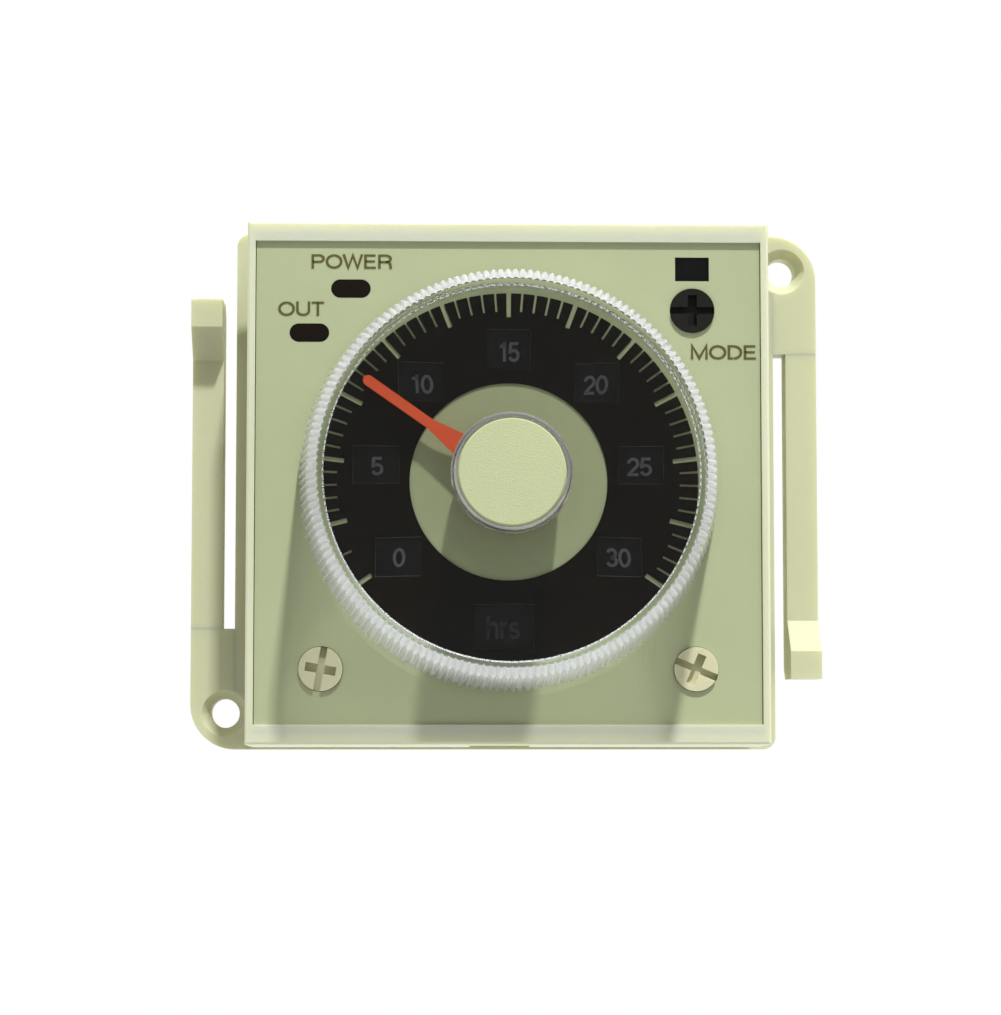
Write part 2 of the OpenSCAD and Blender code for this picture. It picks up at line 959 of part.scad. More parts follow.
// Transformer, on the right board
core_at = [board_face - 7.8, board_back_y + 27, 7.5];
limb_w = 5;
window_w = 4.4;
window_h = 11;

module transformer_core() {
  color("#6d6f70")
    translate(core_at)
      rotate([0, 90, 0])
        linear_extrude(core_size[2], center = true)
          rotate(90)
            difference() {
              square([core_size[0], core_size[1]], center = true);
              for (side = [-1, 1])
                translate([side * (limb_w + window_w) / 2, 0])
                  square([window_w, window_h], center = true);
            }
}

module transformer_coil() {
  coil_y = limb_w + 2 * window_w - 2 * loose;
  coil_x = core_size[2] + 8.6;
  coil_z = window_h - 2 * loose;
  color("#c98a3a")
    translate(core_at)
      difference() {
        cube([coil_x, coil_y, coil_z], center = true);
        cube([core_size[2] + 2 * snug, limb_w + 2 * snug, 2 * coil_z], center = true);
      }
}

// Case, base and plug

module case_tongue(w) {
  front_y = -flange_t - 0.6;
  inner = case_inner / 2 + loose / 2;
  block([-w / 2, w / 2], [front_y, 0.1], [inner, inner + tongue_t]);
  block([-w / 2, w / 2], [front_y, -flange_t - 0.05], [inner, inner + tongue_t + 0.6]);
}

hook_y = base_y - 3.4;
hook_l = 1.2;

module case_shell() {
  color("#b8b59e")
    difference() {
      union() {
        difference() {
          sheet([-case_seat, base_y])
            soft_square(case_size, case_size, case_corner_r);
          sheet([-1, base_y + 1])
            square(case_inner, center = true);
        }
        four_sides()
          case_tongue(tongue_w);
        for (side = [-1, 1])
          scale([side, 1, 1])
            ratchet_strip();
      }
      four_sides()
        block([-tongue_w / 2 - loose, tongue_w / 2 + loose], [hook_y - loose, hook_y + hook_l + loose],
              [case_inner / 2 - 1, case_size / 2 + 1]);
    }
}

module ratchet_strip() {
  count = floor((ratchet_end_y - ratchet_start_y) / ratchet_pitch);
  root_x = case_size / 2;
  translate([0, 0, -ratchet_w / 2])
    linear_extrude(ratchet_w)
      polygon(concat(
        [[root_x - 0.3, ratchet_start_y]],
        [for (i = [0:count - 1]) for (k = [0, 1])
          [root_x + k * ratchet_h, ratchet_start_y + (i + k * 0.9) * ratchet_pitch]],
        [[root_x, ratchet_start_y + count * ratchet_pitch],
         [root_x - 0.3, ratchet_start_y + count * ratchet_pitch]]
      ));
}

module pin_places() {
  for (i = [0:7])
    rotate([0, 22.5 + 45 * i, 0])
      translate([0, 0, pin_circle_r])
        children();
}

module rear_base() {
  key_w = 1.6;
  tongue_out = case_inner / 2 - loose;
  color("#22221f")
    difference() {
      union() {
        sheet([base_y, case_depth])
          soft_square(case_size, case_size, case_corner_r);
        rod_y(boss_r, [case_depth - 0.1, boss_y]);
        rod_y(post_key_r, [boss_y - 0.1, boss_y + post_key_length]);
        block([-key_w / 2, key_w / 2], [boss_y - 0.1, boss_y + post_key_length - 1.5],
              [-post_key_r - 1.2, 0]);
        four_sides() {
          block([-tongue_w / 2, tongue_w / 2], [hook_y, base_y + 0.1], [tongue_out - tongue_t, tongue_out]);
          block([-tongue_w / 2, tongue_w / 2], [hook_y, hook_y + hook_l],
                [tongue_out - 0.1, tongue_out + 1]);
        }
      }
      pin_places()
        rod_y(pin_root_r + snug, [base_y - 1, boss_y + 1]);
    }
}

pin_tail_y = base_y - 1.5;
pin_root_r = pin_r + 0.2;

module octal_pins() {
  tip = 0.5;
  color("#c8c9c4")
    pin_places() {
      rod_y(pin_root_r, [pin_tail_y, boss_y]);
      rod_y(pin_r, [boss_y - 0.1, boss_y + pin_length - tip]);
      translate([0, boss_y + pin_length - tip, 0])
        rotate([-90, 0, 0])
          cylinder(r1 = pin_r, r2 = pin_r - tip, h = tip);
    }
}

// Wires from the pins to the nearer side board
module pin_leads() {
  lead_r = 0.4;
  bend_y = base_y - 3.2;
  color("#b23a30")
    for (i = [0:7]) {
      at = polar(pin_circle_r, -22.5 - 45 * i);
      side = at[0] < 0 ? -1 : 1;
      rod_y(lead_r, [bend_y, pin_tail_y], at);
      translate([at[0], bend_y, at[1]])
        sphere(lead_r);
      translate([0, bend_y, at[1]])
        rod_x(lead_r, side < 0 ? [-board_face, at[0]] : [at[0], board_face]);
    }
}

// Bracket

ring_w = case_size + 2 * ring_side;
ring_h = case_size + 2 * ring_end;
bracket_inner = case_size + 2 * slide_gap;
arm_x = ring_w / 2 + arm_gap;
ear_start = 13;
ear_at = [ring_w / 2 + 0.9, ring_h / 2 - 3.35];
ear_corner_r = 4.2;
ear_left = ear_at[0] - screw_mouth_r;

module two_ways() {
  children();
  rotate([0, 180, 0])
    children();
}

// The ring, its ears and its spring arms are one moulding, in three pieces that meet face to face
module bracket() {
  color("#c6cbac") {
    difference() {
      sheet([bracket_y, bracket_y + ring_depth])
        soft_square(ring_w, ring_h, 1.2);
      sheet([bracket_y - 1, bracket_y + ring_depth + 1])
        soft_square(bracket_inner, bracket_inner, case_corner_r);
      pawl_cuts();
      two_ways()
        ear_corner();
    }
    pawls();
  }
}

// The corner of the ring that an ear takes up, with room behind the screw
module ear_corner() {
  block([ear_left, ring_w], [bracket_y - 1, bracket_y + ring_depth + 1],
        [ear_at[1] - screw_mouth_r, ring_h]);
}

// Ears as seen from the front, each with a large radius at its outer corner
module bracket_ears() {
  right = arm_x + arm_w;
  top = ring_h / 2;
  color("#c6cbac")
    two_ways()
      difference() {
        sheet([bracket_y, bracket_y + ear_t])
          union() {
            translate([ring_w / 2, ear_start])
              square([right - ring_w / 2, top - ear_corner_r - ear_start]);
            translate([ear_left, ear_at[1] - screw_mouth_r])
              square([right - ear_left, top - ear_corner_r - ear_at[1] + screw_mouth_r]);
            translate([ear_left, ear_at[1] - screw_mouth_r])
              square([right - ear_corner_r - ear_left, top - ear_at[1] + screw_mouth_r]);
            intersection() {
              translate([right - ear_corner_r, top - ear_corner_r])
                circle(ear_corner_r);
              translate([ear_left, ear_at[1] - screw_mouth_r])
                square(2 * ear_corner_r);
            }
          }
        translate([ear_at[0], bracket_y, ear_at[1]])
          rotate([-90, 0, 0]) {
            translate([0, 0, -1])
              cylinder(r = screw_r, h = ear_t + 2);
            translate([0, 0, -0.01])
              cylinder(r1 = screw_mouth_r, r2 = screw_r, h = 1);
          }
      }
}

module bracket_arms() {
  color("#c6cbac")
    two_ways()
      spring_arm();
}

// Side view of the arm: its foot leans forward at the free end
module spring_arm() {
  arm_t = 3;
  foot_flat = 2.6;
  foot_slope = 2.9;
  foot_end = -arm_reach;
  foot_top = foot_end + foot_flat;
  translate([arm_x, 0, 0])
    rotate([90, 0, 90])
      linear_extrude(arm_w)
        polygon([
          [bracket_y, ear_start], [bracket_y, foot_top + foot_slope],
          [bracket_y - foot_rise, foot_top], [bracket_y - foot_rise, foot_end],
          [bracket_y + arm_t - 1, foot_end], [bracket_y + arm_t, foot_end + 1],
          [bracket_y + arm_t, ear_start]
        ]);
}

module pawl_cuts() {
  channel_x = case_size / 2 + ratchet_h + slide_gap + 0.15;
  back = bracket_y + ring_depth + 1;
  for (side = [-1, 1])
    scale([side, 1, 1]) {
      block([case_size / 2 - 1, channel_x], [bracket_y - 1, back], [-pawl_w / 2, pawl_w / 2]);
      for (z = [-pawl_w / 2 - pawl_slot, pawl_w / 2])
        block([case_size / 2 - 1, ring_w / 2 + 1], [bracket_y + 4, back], [z, z + pawl_slot]);
    }
}

// The pawls' tips are drawn just clear of the ratchet's crests
module pawls() {
  tip_x = case_size / 2 + ratchet_h + 0.06;
  root_x = case_size / 2 + ratchet_h + 0.5;
  back = bracket_y + ring_depth;
  for (side = [-1, 1])
    scale([side, 1, 1])
      translate([0, 0, -ratchet_w / 2])
        linear_extrude(ratchet_w)
          polygon([
            [root_x, back - 2.2], [tip_x, back - 0.9], [tip_x, back - 0.5], [root_x, back - 0.3]
          ]);
}

front_bezel();
face_plate();
scale_print();
number_panes();
unit_pane();
mode_pane();
lens(power_at);  // power_lens
lens(out_at);  // out_lens
knob_shell();
knob_cap();
pointer();
setting_shaft();
pot_wiper();
pot_body();
pot_track();
range_selector();
unit_selector();
mode_selector();
number_disc();
unit_disc();
mode_disc();
disc_clip();
dial_carrier();
selector_switch(range_at);  // range_switch
selector_switch(unit_at);  // unit_switch
selector_switch(mode_at);  // mode_switch
front_board();
led(power_at);  // power_led
led(out_at);  // out_led
link_pins();
side_board(-1);  // left_board
side_board(1);  // right_board
relay_base();
relay_cover();
relay_coil();
relay_yoke();
relay_armature();
relay_card();
relay_blades();
relay_contacts();
timing_chip();
chip_legs();
driver_transistor();
resistors();
diodes();
smoothing_capacitor();
film_capacitor();
varistor();
transformer_core();
transformer_coil();
case_shell();
rear_base();
octal_pins();
pin_leads();
bracket();
bracket_ears();
bracket_arms();
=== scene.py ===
import math

import bmesh
import bpy
from mathutils import Euler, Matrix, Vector


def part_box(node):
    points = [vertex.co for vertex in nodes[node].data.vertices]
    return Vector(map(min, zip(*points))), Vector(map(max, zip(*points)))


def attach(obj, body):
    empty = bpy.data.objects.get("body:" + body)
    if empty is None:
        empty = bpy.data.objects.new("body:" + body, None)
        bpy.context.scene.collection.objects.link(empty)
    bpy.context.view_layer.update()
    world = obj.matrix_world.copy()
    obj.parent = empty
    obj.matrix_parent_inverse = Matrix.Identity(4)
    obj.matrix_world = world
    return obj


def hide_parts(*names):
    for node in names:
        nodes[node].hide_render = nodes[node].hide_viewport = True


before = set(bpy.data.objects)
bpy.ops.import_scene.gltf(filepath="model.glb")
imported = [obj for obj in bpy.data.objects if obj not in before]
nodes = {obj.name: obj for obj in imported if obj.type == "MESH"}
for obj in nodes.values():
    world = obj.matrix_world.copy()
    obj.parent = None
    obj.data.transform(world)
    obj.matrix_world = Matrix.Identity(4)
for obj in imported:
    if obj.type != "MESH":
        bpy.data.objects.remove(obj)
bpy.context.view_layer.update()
MM = 0.001


# ---------------------------------------------------------------- materials

def linear(c):
    return c / 12.92 if c <= 0.04045 else ((c + 0.055) / 1.055) ** 2.4


def rgb(r, g, b):
    return (linear(r / 255), linear(g / 255), linear(b / 255), 1)


def shade(color, k):
    return tuple(min(1, c * k) for c in color[:3]) + (1,)


class Tree:
    """A material's node tree with short calls for the parts that all of them use."""

    def __init__(self, name):
        self.mat = bpy.data.materials.new(name)
        self.mat.use_nodes = True
        self.tree = self.mat.node_tree
        self.shader = self.tree.nodes["Principled BSDF"]
        self.out = self.tree.nodes["Material Output"]
        self.coords = self.tree.nodes.new("ShaderNodeTexCoord")

    def node(self, kind, **values):
        n = self.tree.nodes.new(kind)
        for k, v in values.items():
            setattr(n, k, v)
        return n

    def link(self, a, b):
        self.tree.links.new(a, b)

    def noise(self, scale, detail=3, rough=0.5, stretch=None):
        n = self.node("ShaderNodeTexNoise")
        n.inputs["Scale"].default_value = scale
        n.inputs["Detail"].default_value = detail
        n.inputs["Roughness"].default_value = rough
        if stretch:
            m = self.node("ShaderNodeMapping")
            m.inputs["Scale"].default_value = stretch
            self.link(self.coords.outputs["Object"], m.inputs["Vector"])
            self.link(m.outputs["Vector"], n.inputs["Vector"])
        else:
            self.link(self.coords.outputs["Object"], n.inputs["Vector"])
        return n.outputs["Fac"]

    def ramp(self, fac, stops):
        r = self.node("ShaderNodeValToRGB")
        ramp = r.color_ramp
        while len(ramp.elements) < len(stops):
            ramp.elements.new(0.5)
        for e, (at, color) in zip(ramp.elements, stops):
            e.position = at
            e.color = color if hasattr(color, "__len__") else (color, color, color, 1)
        self.link(fac, r.inputs["Fac"])
        return r.outputs["Color"]

    def scaled(self, fac, low, high):
        m = self.node("ShaderNodeMapRange")
        m.inputs["To Min"].default_value = low
        m.inputs["To Max"].default_value = high
        self.link(fac, m.inputs["Value"])
        return m.outputs["Result"]

    def mix(self, fac, a, b):
        m = self.node("ShaderNodeMix", data_type="RGBA")
        for value, socket in ((fac, m.inputs[0]), (a, m.inputs[6]), (b, m.inputs[7])):
            if isinstance(value, bpy.types.NodeSocket):
                self.link(value, socket)
            else:
                socket.default_value = value
        return m.outputs[2]

    def bump(self, height, strength, distance):
        b = self.node("ShaderNodeBump")
        b.inputs["Strength"].default_value = strength
        b.inputs["Distance"].default_value = distance
        self.link(height, b.inputs["Height"])
        self.link(b.outputs["Normal"], self.shader.inputs["Normal"])

    def set(self, **values):
        for k, v in values.items():
            self.shader.inputs[k.replace("_", " ")].default_value = v

    def lets_lamps_through(self, tint):
        """Shadow rays pass each face with this tint, so that what is inside the glass is lit."""
        path = self.node("ShaderNodeLightPath")
        clear = self.node("ShaderNodeBsdfTransparent")
        clear.inputs["Color"].default_value = tint
        both = self.node("ShaderNodeMixShader")
        self.link(path.outputs["Is Shadow Ray"], both.inputs["Fac"])
        self.link(self.shader.outputs["BSDF"], both.inputs[1])
        self.link(clear.outputs["BSDF"], both.inputs[2])
        self.link(both.outputs["Shader"], self.out.inputs["Surface"])


def plastic(name, color, rough=0.4, spread=0.05, grain=700, bump=0.08, blotch=60, spec=0.45, sss=0.0):
    """Moulded or printed plastic: a faint blotch and fine grain in colour, roughness and height.
    Where sss is set, the light that goes through it comes out yellower."""
    t = Tree(name)
    t.set(Specular_IOR_Level=spec)
    big = t.ramp(t.noise(blotch, 3), [(0.3, shade(color, 1 - spread)), (0.7, shade(color, 1 + spread))])
    fine = t.noise(grain, 4, 0.6)
    mottled = t.mix(t.scaled(fine, 0, 0.35), big, shade(color, 1 - 2 * spread))
    t.link(mottled, t.shader.inputs["Base Color"])
    t.link(t.scaled(t.noise(blotch * 3, 2), rough - 0.06, rough + 0.08), t.shader.inputs["Roughness"])
    t.bump(fine, bump, 0.0002)
    if sss:
        t.set(Subsurface_Weight=sss, Subsurface_Scale=0.002, Subsurface_Radius=(1, 0.9, 0.3))
    return t.mat


def metal(name, color, rough=0.3, brushed=None, bump=0.1):
    """Bare metal with fine streaks, drawn out along the axes where brushed is large."""
    t = Tree(name)
    t.set(Metallic=1.0)
    streak = t.noise(400, 3, 0.6, brushed)
    streaked = t.ramp(streak, [(0.25, shade(color, 0.85)), (0.75, shade(color, 1.08))])
    t.link(streaked, t.shader.inputs["Base Color"])
    t.link(t.scaled(streak, rough - 0.08, rough + 0.12), t.shader.inputs["Roughness"])
    t.bump(streak, bump, 0.0001)
    return t.mat


def glass(name, color, rough=0.05, ior=1.49, shadow=0.8, grain=500, bump=0.02, clear=1.0, sss=0.0):
    """Clear plastic. Where clear is less than 1, the rest of the light is scattered, as by fine ribs, or as a
    painted highlight where the part is smooth.
    """
    t = Tree(name)
    t.set(Transmission_Weight=clear, IOR=ior)
    if sss:
        t.set(Subsurface_Weight=sss, Subsurface_Scale=0.003, Subsurface_Radius=(1, 1, 1))
    fine = t.noise(grain, 3)
    t.link(t.ramp(fine, [(0.2, shade(color, 0.97)), (0.8, shade(color, 1.0))]), t.shader.inputs["Base Color"])
    t.link(t.scaled(fine, max(0, rough - 0.02), rough + 0.03), t.shader.inputs["Roughness"])
    t.bump(fine, bump, 0.0001)
    t.lets_lamps_through((shadow, shadow, shadow, 1))
    return t.mat


def dusty(name, color, dust, rough, amount):
    """Dark print with small pale specks of dust lying on it, in this share of the cells."""
    t = Tree(name)
    t.set(Specular_IOR_Level=0.2)
    spread = 0.2
    cells_per_metre = 900
    base = t.ramp(t.noise(90, 3), [(0.3, shade(color, 1 - spread)), (0.7, shade(color, 1 + spread))])
    cells = t.node("ShaderNodeTexVoronoi")
    cells.inputs["Scale"].default_value = cells_per_metre
    t.link(t.coords.outputs["Object"], cells.inputs["Vector"])
    near = t.ramp(cells.outputs["Distance"], [(0.06, 1.0), (0.13, 0.0)])
    rare = t.ramp(cells.outputs["Color"], [(1 - amount - 0.02, 0.0), (1 - amount, 1.0)])
    both = t.node("ShaderNodeMath", operation="MULTIPLY")
    t.link(near, both.inputs[0])
    t.link(rare, both.inputs[1])
    t.link(t.mix(both.outputs[0], base, dust), t.shader.inputs["Base Color"])
    t.link(t.scaled(t.noise(500, 3), rough - 0.05, rough + 0.1), t.shader.inputs["Roughness"])
    t.bump(t.noise(1200, 3), 0.05, 0.0001)
    return t.mat


MATERIALS = {
    "front_bezel": plastic("bezel_ivory", rgb(214, 217, 190), 0.36, 0.02, 900, 0.04, sss=0.4),
    "face_plate": plastic("plate_olive", rgb(176, 184, 146), 0.5, 0.03, 1500, 0.06, blotch=120),
    "scale_print": dusty("dial_black", rgb(14, 9, 5), rgb(170, 160, 120), 0.45, 0.035),
    "number_panes": glass("pane_smoke", rgb(214, 214, 222), 0.05, 1.49, 0.85, 700, 0.01),
    "power_lens": plastic("lamp_lens", rgb(26, 20, 15), 0.2, 0.15, 500, 0.03),
    "knob_cap": plastic("cap_cream", rgb(193, 200, 158), 0.4, 0.03, 6000, 0.3, blotch=90),
    "pointer": plastic("pointer_red", rgb(238, 96, 60), 0.3, 0.05, 900, 0.05),
    "setting_shaft": metal("turned_metal", rgb(190, 190, 182), 0.25, (1, 30, 1)),
    "pot_wiper": metal("contact_brass", rgb(201, 162, 74), 0.3),
    "pot_body": plastic("pot_blue", rgb(58, 90, 140), 0.45),
    "pot_track": plastic("carbon", rgb(38, 34, 30), 0.6),
    "range_selector": plastic("selector_cream", rgb(212, 210, 176), 0.35, 0.03, 900, 0.05, sss=0.2),
    "mode_selector": plastic("selector_black", rgb(34, 33, 30), 0.25, 0.15, 900, 0.06),
    "number_disc": plastic("disc_black", rgb(44, 45, 45), 0.5, 0.1),
    "disc_clip": metal("spring_steel", rgb(170, 172, 166), 0.3),
    "dial_carrier": plastic("carrier_grey", rgb(143, 146, 124), 0.5),
    "range_switch": plastic("moulded_black", rgb(40, 40, 40), 0.45, 0.08),
    "front_board": plastic("board_green", rgb(46, 106, 62), 0.35, 0.12, 1500, 0.15, blotch=300),
    "power_led": glass("led_red", rgb(200, 50, 40), 0.1),
    "link_pins": metal("pin_brass", rgb(201, 162, 74), 0.3),
    "relay_cover": glass("relay_clear", rgb(200, 215, 220), 0.08),
    "relay_coil": metal("coil_copper", rgb(184, 100, 42), 0.35, (1, 40, 1), 0.4),
    "relay_yoke": metal("soft_iron", rgb(154, 156, 156), 0.35),
    "relay_card": plastic("card_cream", rgb(226, 222, 206), 0.4),
    "chip_legs": metal("tinned", rgb(190, 190, 184), 0.3),
    "octal_pins": metal("pin_nickel", rgb(196, 194, 184), 0.22, (1, 25, 1)),
    "resistors": plastic("resistor_tan", rgb(199, 180, 138), 0.4, 0.12),
    "smoothing_capacitor": plastic("sleeve_navy", rgb(47, 58, 85), 0.3, 0.1),
    "film_capacitor": plastic("film_red", rgb(168, 57, 46), 0.35, 0.1),
    "varistor": plastic("varistor_blue", rgb(63, 111, 168), 0.35, 0.1),
    "transformer_core": metal("core_steel", rgb(109, 111, 112), 0.45, (40, 1, 1), 0.5),
    "case_shell": plastic("case_grey", rgb(196, 193, 168), 0.45, 0.03, 900, 0.1),
    "rear_base": plastic("base_black", rgb(42, 42, 40), 0.45, 0.1, 700, 0.15),
    "pin_leads": plastic("lead_red", rgb(176, 64, 48), 0.4),
    "bracket": plastic("bracket_ivory", rgb(203, 205, 172), 0.4, 0.02, 900, 0.05, sss=0.4),
}
# Nodes that take the material of another node
SAME = {
    "unit_pane": "number_panes", "mode_pane": "number_panes", "out_lens": "power_lens",
    "unit_selector": "range_selector", "mode_disc": "number_disc", "unit_disc": "number_disc",
    "unit_switch": "range_switch", "mode_switch": "range_switch", "relay_base": "range_switch",
    "timing_chip": "range_switch", "driver_transistor": "range_switch", "diodes": "range_switch",
    "left_board": "front_board", "right_board": "front_board", "out_led": "power_led",
    "relay_armature": "relay_yoke", "relay_blades": "pot_wiper", "relay_contacts": "pot_wiper",
    "transformer_coil": "relay_coil", "bracket_ears": "bracket", "bracket_arms": "bracket",
}
for name, obj in nodes.items():
    mat = MATERIALS.get(name) or MATERIALS.get(SAME.get(name, ""))
    if mat is not None:
        obj.data.materials.clear()
        obj.data.materials.append(mat)


def bevel(name, width, segments=3):
    """Rounds a node's sharp edges by this width in millimetres."""
    least_edge_angle = 40
    m = nodes[name].modifiers.new("edges", "BEVEL")
    m.width = width * MM
    m.segments = segments
    m.limit_method = "ANGLE"
    m.angle_limit = math.radians(least_edge_angle)


bevel("front_bezel", 0.12)
bevel("bracket_ears", 0.2)
bevel("bracket_arms", 0.2)
bevel("case_shell", 0.12, 2)
bevel("rear_base", 0.15, 2)
bevel("octal_pins", 0.25, 2)
bevel("range_selector", 0.1, 2)
bevel("unit_selector", 0.1, 2)
bevel("mode_selector", 0.1, 2)
bevel("pointer", 0.1, 2)


# ---------------------------------------------------------------- knurled knob

def new_object(name, bm, mat, body):
    me = bpy.data.meshes.new(name)
    bm.to_mesh(me)
    bm.free()
    ob = bpy.data.objects.new(name, me)
    bpy.context.scene.collection.objects.link(ob)
    me.materials.append(mat)
    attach(ob, body)
    return ob


# The knob's materials, by their places on its mesh
CLEAR, RIBBED, HUB_WALL = range(3)
knob_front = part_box("knob_shell")[0][1]
base_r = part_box("knob_shell")[1][0]
cap_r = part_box("knob_cap")[1][0]
face_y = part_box("face_plate")[0][1]


def knob():
    """The setting knob: one clear moulding, turned about its axis, with fine ribs on skirt and chamfer."""
    ribs = 172
    steps = 6
    rib_depth = 0.32 * MM
    # Radii and heights above the face, in millimetres
    top = (face_y - knob_front) / MM
    base = base_r / MM
    cap = cap_r / MM
    gap = 0.5
    shaft_hole = 2.02
    socket = 3.0
    socket_end = 1.6
    socket_roof = 0.6
    hub = 5.25
    shoulder = base - 1.0
    rim = base - 1.9
    bore = base - 2.4
    base_bore = base - (shoulder - bore)
    ceiling = top - 1.4
    fillet = 0.15
    cap_seat = cap + 0.02
    cap_floor = top - 1.6
    groove = 0.12
    # radius, height above the face, rib depth there
    profile = [
        (shaft_hole, gap, 0), (socket, gap, 0), (socket, socket_end, 0), (hub, socket_end, 0),
        (hub, ceiling - fillet, 0), (hub + fillet, ceiling, 0), (bore - fillet, ceiling, 0),
        (bore, ceiling - fillet, 0), (base_bore - 0.05, gap + 0.05, 0), (base_bore, gap, 0),
        (base - 0.6, gap, 0), (base - 0.12, gap, 0.5), (base, gap + 0.12, 1), (shoulder, top - 1.25, 1),
        (shoulder - 0.04, top - 1.12, 1), (rim + 0.04, top - 0.03, 0.9), (rim - 0.02, top, 0),
        (rim - 0.08, top - groove, 0), (rim - 0.14, top, 0), (cap + 0.3, top, 0),
        (cap + 0.05, top - 0.05, 0), (cap_seat, top - 0.2, 0), (cap_seat, cap_floor, 0),
        (shaft_hole, cap_floor, 0),
    ]
    bm = bmesh.new()
    count = ribs * steps
    rings = []
    for radius, height, share in profile:
        ring = []
        for i in range(count):
            a = 2 * math.pi * i / count
            dip = rib_depth * share * (1 - abs(math.sin(ribs * a / 2)))
            r = radius * MM - dip
            ring.append(bm.verts.new((-r * math.sin(a), face_y - height * MM, r * math.cos(a))))
        rings.append(ring)
    for k, (a, b) in enumerate(zip(rings, rings[1:])):
        ends = (profile[k][0], profile[k + 1][0])
        ribbed_here = min(ends) > bore - 0.1 and max(profile[k][2], profile[k + 1][2]) > 0
        wall_here = max(ends) < hub + 0.2
        material = RIBBED if ribbed_here else HUB_WALL if wall_here else CLEAR
        for i in range(count):
            j = (i + 1) % count
            bm.faces.new((a[i], a[j], b[j], b[i])).material_index = material
    # The floor of the cap's seat and the roof of the shaft's hole
    roof_y = face_y - (cap_floor - socket_roof) * MM
    roof = [bm.verts.new((v.co.x, roof_y, v.co.z)) for v in rings[0]]
    for i in range(count):
        j = (i + 1) % count
        bm.faces.new((roof[i], roof[j], rings[0][j], rings[0][i]))
    bm.faces.new(roof)
    bm.faces.new(rings[-1])
    bmesh.ops.recalc_face_normals(bm, faces=bm.faces)
    for f in bm.faces:
        f.smooth = True
    clear = glass("knob_clear", rgb(250, 252, 247), 0.02, 1.49, 0.93, 400, 0.005)
    ribbed = glass("knob_ribbed", rgb(244, 249, 250), 0.15, 1.49, 0.66, 900, 0.05, 0.55, sss=1.0)
    # The hub's smooth clear wall gets a whitish diffuse share. This is a painted highlight standing in for
    # the bright refractions in the ring round the cap.
    wall = glass("knob_hub_painted_highlight", rgb(246, 246, 244), 0.06, 1.49, 0.2, 900, 0.02, 0.75)
    ob = new_object("knob_body", bm, clear, "setting_knob")
    ob.data.materials.append(ribbed)
    ob.data.materials.append(wall)
    m = ob.modifiers.new("edges", "EDGE_SPLIT")
    m.split_angle = math.radians(35)
    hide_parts("knob_shell")


knob()


# ---------------------------------------------------------------- print

def arc(x, z, rx, rz, start, end, steps=12):
    """Points on an ellipse, with angles in degrees, anticlockwise from the right."""
    angles = [math.radians(start + (end - start) * i / steps) for i in range(steps + 1)]
    return [(x + rx * math.cos(a), z + rz * math.sin(a)) for a in angles]


